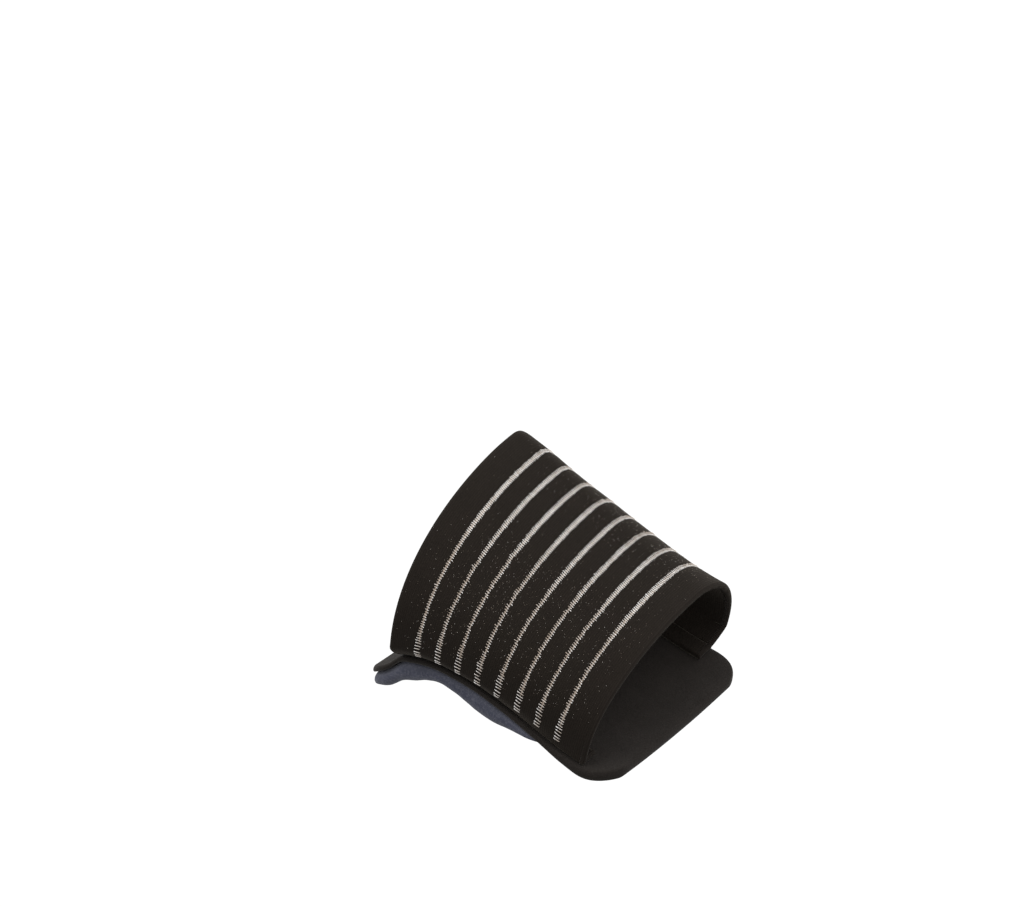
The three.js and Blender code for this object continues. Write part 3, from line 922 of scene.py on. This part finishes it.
class Graph:
    """Short calls for the node tree of one material."""

    def __init__(self, name, finish):
        self.material = bpy.data.materials.new(name)
        self.material.use_nodes = True
        self.nodes = self.material.node_tree.nodes
        self.links = self.material.node_tree.links
        self.shader = self.nodes["Principled BSDF"]
        self.shader.inputs["Specular IOR Level"].default_value = SPECULAR_LEVEL
        self.shader.inputs["Roughness"].default_value = FINISHES[finish]["roughness"]
        self.shader.inputs["Sheen Weight"].default_value = SHEENS[finish]["weight"]
        self.shader.inputs["Sheen Roughness"].default_value = SHEENS[finish]["roughness"]
        self.shader.inputs["Sheen Tint"].default_value = (*SHEENS[finish]["tint"], 1)
        self.sizes = FINISHES[finish]

    def put(self, socket, value):
        if isinstance(value, bpy.types.NodeSocket):
            self.links.new(value, socket)
        elif value is not None:
            socket.default_value = value

    def attribute(self, name, output="Fac"):
        node = self.nodes.new("ShaderNodeAttribute")
        node.attribute_name = name
        return node.outputs[output]

    def place(self):
        return self.nodes.new("ShaderNodeTexCoord").outputs["Object"]

    def split(self, vector):
        node = self.nodes.new("ShaderNodeSeparateXYZ")
        self.put(node.inputs[0], vector)
        return node.outputs

    def math(self, operation, first, second=None):
        node = self.nodes.new("ShaderNodeMath")
        node.operation = operation
        self.put(node.inputs[0], first)
        self.put(node.inputs[1], second)
        return node.outputs[0]

    def noise(self, size, detail):
        """Fine clouding of one of the finish's sizes."""
        node = self.nodes.new("ShaderNodeTexNoise")
        self.put(node.inputs["Vector"], self.place())
        node.inputs["Scale"].default_value = 1 / self.sizes[size]
        node.inputs["Detail"].default_value = detail
        return node.outputs[0]

    def range(self, value, low, high, to_low=0.0, to_high=1.0):
        node = self.nodes.new("ShaderNodeMapRange")
        numbers = (value, low, high, to_low, to_high)
        for socket, number in zip(node.inputs, numbers):
            self.put(socket, number)
        return node.outputs[0]

    def colour(self, share, low, high):
        node = self.nodes.new("ShaderNodeMix")
        node.data_type = "RGBA"
        self.put(node.inputs[0], share)
        self.put(node.inputs[6], low if isinstance(low, bpy.types.NodeSocket) else (*low, 1))
        self.put(node.inputs[7], high if isinstance(high, bpy.types.NodeSocket) else (*high, 1))
        return node.outputs[2]

    def bump(self, height, distance, normal=None):
        node = self.nodes.new("ShaderNodeBump")
        node.inputs["Distance"].default_value = distance
        self.put(node.inputs["Height"], height)
        self.put(node.inputs["Normal"], normal)
        return node.outputs[0]

    def finish(self, colour, normal):
        self.put(self.shader.inputs["Base Color"], colour)
        self.put(self.shader.inputs["Normal"], normal)
        return self.material


def knit_height(graph):
    """Rows of small V-shaped stitches, WALE wide and COURSE high."""
    along, over, _ = graph.split(graph.attribute("weave", "Vector"))
    turn = graph.math("FRACT", graph.math("DIVIDE", along, WALE))
    flank = graph.math("ABSOLUTE", graph.math("SUBTRACT", graph.math("MULTIPLY", turn, 2.0), 1.0))
    ridge = graph.math("SUBTRACT", 1.0, graph.math("POWER", flank, 2.0))
    slope = graph.math("MULTIPLY", flank, STITCH_RISE)
    rise = graph.math("ADD", graph.math("DIVIDE", over, COURSE), slope)
    stitch = graph.math("SINE", graph.math("MULTIPLY", rise, 2 * math.pi))
    loops = graph.range(stitch, -1.0, 1.0, 0.5, 1.0)
    return graph.math("MULTIPLY", ridge, loops)


def knit_material():
    """Black knit: clouded and fuzzy, with painted shade between its stitches, and paler at worn edges.
    """
    graph = Graph("black_knit", "knit")
    height = knit_height(graph)
    cloudy = graph.range(graph.noise("cloud", 3), 0.3, 0.7)
    fuzzy = graph.noise("grain", 4)
    base = graph.colour(cloudy, KNIT_COLOURS["deep"], KNIT_COLOURS["plain"])
    grain = graph.colour(graph.range(fuzzy, 0.35, 0.75), base, KNIT_COLOURS["fuzz"])
    wear = graph.math("MULTIPLY", graph.attribute("wear"), WEAR_STRENGTH)
    worn = graph.colour(wear, grain, KNIT_COLOURS["worn"])
    # Painted shade: where the stitch height is low, between the loops, the colour goes to the darker
    # between colour.
    shaded = graph.colour(graph.range(height, 0.0, 0.5), KNIT_COLOURS["between"], worn)
    normal = graph.bump(height, STITCH_DEPTH, graph.bump(fuzzy, graph.sizes["bump"]))
    return graph.finish(shaded, normal)


def thread_material(name, dull, middle, bright):
    """Thread whose tone runs from dull over a middle colour to bright."""
    graph = Graph(name, "thread")
    fibre = graph.noise("grain", 3)
    tone = graph.math("ADD", graph.attribute("tone"), graph.range(fibre, 0.2, 0.8, -0.12, 0.12))
    shade = graph.colour(graph.range(tone, 0.0, 0.5), dull, middle)
    colour = graph.colour(graph.range(tone, 0.5, 1.0), shade, bright)
    return graph.finish(colour, graph.bump(fibre, graph.sizes["bump"]))


def cover_material():
    """Charcoal cloth with a faint nap."""
    graph = Graph("charcoal_cloth", "cover")
    cloudy = graph.range(graph.noise("cloud", 3), 0.3, 0.7)
    grain = graph.noise("grain", 4)
    base = graph.colour(cloudy, COVER_COLOURS["deep"], COVER_COLOURS["plain"])
    colour = graph.colour(graph.range(grain, 0.4, 0.8), base, COVER_COLOURS["nap"])
    return graph.finish(colour, graph.bump(grain, graph.sizes["bump"]))


def cushion_material():
    """Brushed slate cloth, with a painted highlight along its upper side."""
    graph = Graph("brushed_slate_cloth", "cushion")
    cloudy = graph.range(graph.noise("cloud", 3), 0.3, 0.7)
    nap = graph.noise("grain", 4)
    base = graph.colour(cloudy, CUSHION_COLOURS["deep"], CUSHION_COLOURS["plain"])
    colour = graph.colour(graph.range(nap, 0.45, 0.8), base, CUSHION_COLOURS["nap"])
    # Painted highlight: the top and the upper rim, by their level, are mixed toward the paler edge
    # colour.
    edge = graph.range(graph.attribute("level"), 0.2, 0.6, 0.0, 0.4)
    with_painted_highlight = graph.colour(edge, colour, CUSHION_COLOURS["edge"])
    return graph.finish(with_painted_highlight, graph.bump(nap, graph.sizes["bump"]))


def add_backdrop(level):
    """Plain white sheet far below the piece, which it neither lights nor shades."""
    corners = [(-BACKDROP_HALF, -BACKDROP_HALF, 0), (BACKDROP_HALF, -BACKDROP_HALF, 0)]
    corners += [(BACKDROP_HALF, BACKDROP_HALF, 0), (-BACKDROP_HALF, BACKDROP_HALF, 0)]
    mesh = bpy.data.meshes.new("backdrop")
    mesh.from_pydata(corners, [], [(0, 1, 2, 3)])
    backdrop = bpy.data.objects.new("backdrop", mesh)
    backdrop.location.z = level
    backdrop.visible_diffuse = False
    backdrop.visible_glossy = False
    backdrop.visible_shadow = False
    bpy.context.scene.collection.objects.link(backdrop)
    white = bpy.data.materials.new("white_backdrop")
    white.use_nodes = True
    shader = white.node_tree.nodes["Principled BSDF"]
    shader.inputs["Base Color"].default_value = (0, 0, 0, 1)
    shader.inputs["Emission Color"].default_value = (1, 1, 1, 1)
    shader.inputs["Emission Strength"].default_value = 1
    mesh.materials.append(white)


def add_sky():
    """Soft surroundings, brighter above than below."""
    world = bpy.data.worlds.new("studio")
    bpy.context.scene.world = world
    world.use_nodes = True
    nodes = world.node_tree.nodes
    links = world.node_tree.links
    split = nodes.new("ShaderNodeSeparateXYZ")
    links.new(nodes.new("ShaderNodeTexCoord").outputs["Generated"], split.inputs[0])
    grade = nodes.new("ShaderNodeMapRange")
    links.new(split.outputs["Z"], grade.inputs["Value"])
    numbers = {"From Min": -SKY_SPREAD, "From Max": SKY_SPREAD, "To Min": SKY_BELOW, "To Max": SKY_ABOVE}
    for name, number in numbers.items():
        grade.inputs[name].default_value = number
    background = nodes["Background"]
    background.inputs["Color"].default_value = (1, 1, 1, 1)
    links.new(grade.outputs[0], background.inputs["Strength"])


def add_lights():
    """Square soft lights, all turned to the piece."""
    for row in LIGHTS:
        data = bpy.data.lights.new(row["name"], "AREA")
        data.shape = "SQUARE"
        data.size = row["size"]
        data.energy = row["power"]
        light = bpy.data.objects.new(row["name"], data)
        light.location = row["place"]
        aim = Vector(LIGHT_AIM) - Vector(row["place"])
        light.rotation_euler = aim.to_track_quat("-Z", "Y").to_euler()
        bpy.context.scene.collection.objects.link(light)


def add_camera():
    right = Vector(CAMERA_RIGHT).normalized()
    back = right.cross(Vector(CAMERA_UP)).normalized()
    up = back.cross(right)
    turn = Matrix((right, up, back)).transposed()
    data = bpy.data.cameras.new("camera")
    data.lens = CAMERA_LENS
    data.sensor_width = SENSOR_WIDTH
    data.clip_end = CAMERA_RANGE
    camera = bpy.data.objects.new("camera", data)
    camera.matrix_world = Matrix.Translation(Vector(CAMERA_PLACE) * MM) @ turn.to_4x4()
    bpy.context.scene.collection.objects.link(camera)
    bpy.context.scene.camera = camera


def dress(piece, material):
    piece.data.materials.append(material)
    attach(piece, "root")
    return piece


def make_trims(cloth):
    """Threads on the band: its ladder stripes, its fibre ends and its whipped edges."""
    rng = np.random.default_rng(THREAD_SEED)
    pale = thread_material("pale_thread", DARK_FIBRE, DULL_FIBRE, PALE_FIBRE)
    black = thread_material("black_thread", BLACK_FIBRE, DARK_FIBRE, DULL_FIBRE)
    ladder = thread_piece("ladder_rungs", [rungs(cloth, groove, rng) for groove in GROOVES])
    cores = thread_piece("ladder_cores", [core(cloth, groove, rng) for groove in GROOVES])
    fibres = thread_piece("fibre_ends", [lint(cloth, rng)])
    edges = (0, BAND_LENGTH)
    whipped = thread_piece("whipped_edges", [whipping(cloth, edge, rng) for edge in edges])
    trims = [dress(trim, pale) for trim in (ladder, cores, fibres)]
    return trims + [dress(whipped, black)]


def build():
    cloth = Cloth()
    band = dress(band_mesh(cloth), knit_material())
    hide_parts("elastic_band")
    trims = make_trims(cloth)
    cover = dress(make_cover(), cover_material())
    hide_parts("pad_cover")
    cushion = dress(make_cushion(), cushion_material())
    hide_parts("arch_cushion")


build()
add_backdrop(cad_box[0].z - BACKDROP_DROP)
add_sky()
add_lights()
add_camera()
bpy.context.scene.view_settings.view_transform = "Standard"
